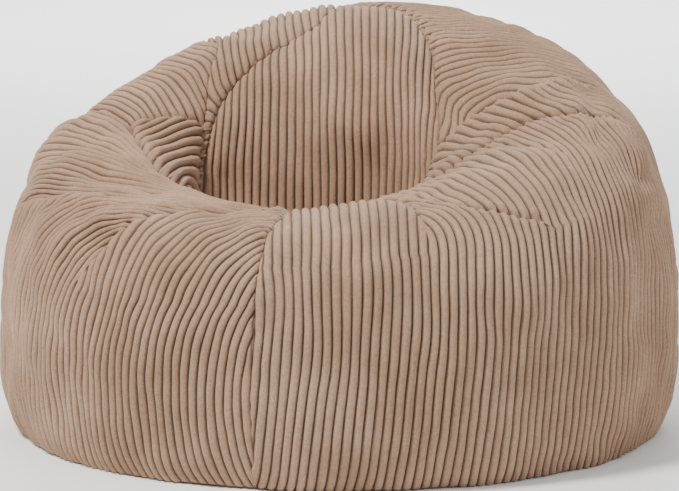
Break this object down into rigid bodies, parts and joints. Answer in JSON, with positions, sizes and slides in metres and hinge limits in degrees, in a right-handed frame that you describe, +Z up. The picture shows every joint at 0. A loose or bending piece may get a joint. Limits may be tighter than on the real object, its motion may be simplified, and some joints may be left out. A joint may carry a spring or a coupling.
{
  "type": "bean bag chair",
  "caption": "Round low bean bag chair with a pressed-in seat, soft arms and a raised back, in wide-wale corduroy over a zipped liner of foam beads.",
  "frame": {"origin": "middle of the object's box at floor level, under the base", "axes": "+Z up, -Y towards the front lip where the sitter's legs go, +X to the right of someone facing the front"},
  "size_m": [0.8476, 0.8258, 0.5108],
  "materials": {
    "corduroy": "wide-wale cotton corduroy, soft velvet pile",
    "base_cloth": "plain hard-wearing canvas",
    "zip_tape": "woven polyester tape",
    "zip_coil": "nylon coil",
    "zip_metal": "painted zinc, worn at the edges",
    "label_satin": "blank woven satin",
    "liner_cloth": "spun-bonded polyester",
    "liner_tape": "woven polyester tape",
    "liner_coil": "nylon coil",
    "foam_beads": "expanded polystyrene beads"
  },
  "bodies": {
    "root": {"front_left_panel": "corduroy", "front_right_panel": "corduroy", "rear_left_panel": "corduroy", "rear_right_panel": "corduroy", "backrest_panel": "corduroy", "seat_panel": "corduroy", "base_front_panel": "base_cloth", "base_rear_panel": "base_cloth", "zip_tape_front": "zip_tape", "zip_tape_rear": "zip_tape", "zip_coil_front": "zip_coil", "zip_coil_rear": "zip_coil", "zip_top_stop": "zip_metal", "zip_bottom_stop": "zip_metal", "care_label": "label_satin", "liner_bag": "liner_cloth", "liner_base": "liner_cloth", "liner_zip_tape_front": "liner_tape", "liner_zip_tape_rear": "liner_tape", "liner_zip_coil_front": "liner_coil", "liner_zip_coil_rear": "liner_coil", "liner_zip_stops": "zip_metal", "bead_filling": "foam_beads"},
    "zip_slider_body": {"zip_slider": "zip_metal"},
    "liner_slider_body": {"liner_zip_slider": "zip_metal"}
  },
  "joints": [
    {"name": "cover_zip_slide", "type": "slide", "parent": "root", "child": "zip_slider_body", "axis": [1, 0, 0], "range_m": [0, 0.585]},
    {"name": "liner_zip_slide", "type": "slide", "parent": "root", "child": "liner_slider_body", "axis": [1, 0, 0], "range_m": [0, 0.389]}
  ]
}
